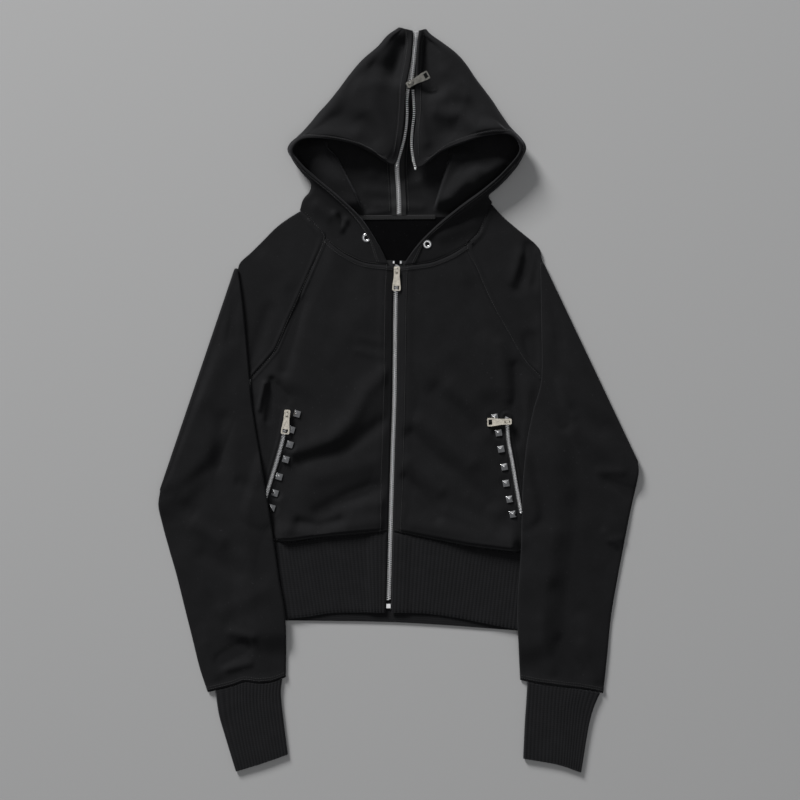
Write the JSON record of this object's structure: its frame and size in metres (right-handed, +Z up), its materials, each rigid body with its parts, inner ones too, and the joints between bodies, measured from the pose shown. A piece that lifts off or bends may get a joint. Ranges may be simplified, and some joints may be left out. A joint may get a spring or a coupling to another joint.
{
  "type": "zip up hoodie, laid flat",
  "caption": "Cropped fleece hoodie laid flat, sleeves folded forward, with a full front zip, a zip over the hood, zipped slant pockets edged with pyramid studs, and ribbed cuffs and hem.",
  "frame": {"origin": "middle of the footprint, on the surface that the garment lies on", "axes": "+Z up off the surface, +Y towards the hood, +X towards the wearer's left sleeve"},
  "size_m": [0.6468, 1.004, 0.0284],
  "materials": {
    "fleece": "black brushed-back cotton fleece, smooth face",
    "rib": "black 2 by 2 cotton rib",
    "tape": "black woven tape",
    "zip_metal": "nickel-plated zip teeth, sliders and pulls",
    "stud_metal": "polished nickel plate"
  },
  "bodies": {
    "garment": {"back": "fleece", "front_right": "fleece", "front_left": "fleece", "sleeve_right": "fleece", "sleeve_left": "fleece", "cuff_right": "rib", "cuff_left": "rib", "hem_band": "rib", "hood_right": "fleece", "eyelet_right": "stud_metal", "hood_left": "fleece", "eyelet_left": "stud_metal", "neck_tape": "tape", "front_zip_tape_right": "tape", "front_zip_tape_left": "tape", "front_zip_chain": "zip_metal", "front_zip_stop_right": "zip_metal", "front_zip_stop_left": "zip_metal", "front_zip_box": "zip_metal", "hood_zip_tape_right": "tape", "hood_zip_tape_left": "tape", "hood_zip_chain": "zip_metal", "hood_zip_teeth_right": "zip_metal", "hood_zip_teeth_left": "zip_metal", "pocket_zip_tape_right": "tape", "pocket_zip_chain_right": "zip_metal", "pocket_zip_tape_left": "tape", "pocket_zip_chain_left": "zip_metal", "stud_right_1": "stud_metal", "stud_right_2": "stud_metal", "stud_right_3": "stud_metal", "stud_right_4": "stud_metal", "stud_right_5": "stud_metal", "stud_right_6": "stud_metal", "stud_right_7": "stud_metal", "stud_left_1": "stud_metal", "stud_left_2": "stud_metal", "stud_left_3": "stud_metal", "stud_left_4": "stud_metal", "stud_left_5": "stud_metal", "stud_left_6": "stud_metal", "stud_left_7": "stud_metal", "front_zip_slider": "zip_metal", "hood_zip_slider": "zip_metal", "pocket_zip_right_slider": "zip_metal", "pocket_zip_left_slider": "zip_metal"},
    "front_pull": {"front_zip_pull": "zip_metal"},
    "hood_pull": {"hood_zip_pull": "zip_metal"},
    "pocket_pull_right": {"pocket_zip_right_pull": "zip_metal"},
    "pocket_pull_left": {"pocket_zip_left_pull": "zip_metal"}
  },
  "joints": [
    {"name": "front_pull_hinge", "type": "hinge", "parent": "garment", "child": "front_pull", "pos_m": [-0.00225, 0.17427, 0.01], "axis": [-0.9997, 0.0262, 0], "range_deg": [0, 150]},
    {"name": "hood_pull_hinge", "type": "hinge", "parent": "garment", "child": "hood_pull", "pos_m": [0.01655, 0.42427, 0.0205], "axis": [0.4695, -0.8829, 0], "range_deg": [0, 150]},
    {"name": "pocket_pull_right_hinge", "type": "hinge", "parent": "garment", "child": "pocket_pull_right", "pos_m": [-0.14995, -0.01873, 0.01157], "axis": [-0.9945, 0.1045, 0], "range_deg": [0, 150]},
    {"name": "pocket_pull_left_hinge", "type": "hinge", "parent": "garment", "child": "pocket_pull_left", "pos_m": [0.14625, -0.02873, 0.01204], "axis": [-0.0349, 0.9994, 0], "range_deg": [0, 120]}
  ]
}
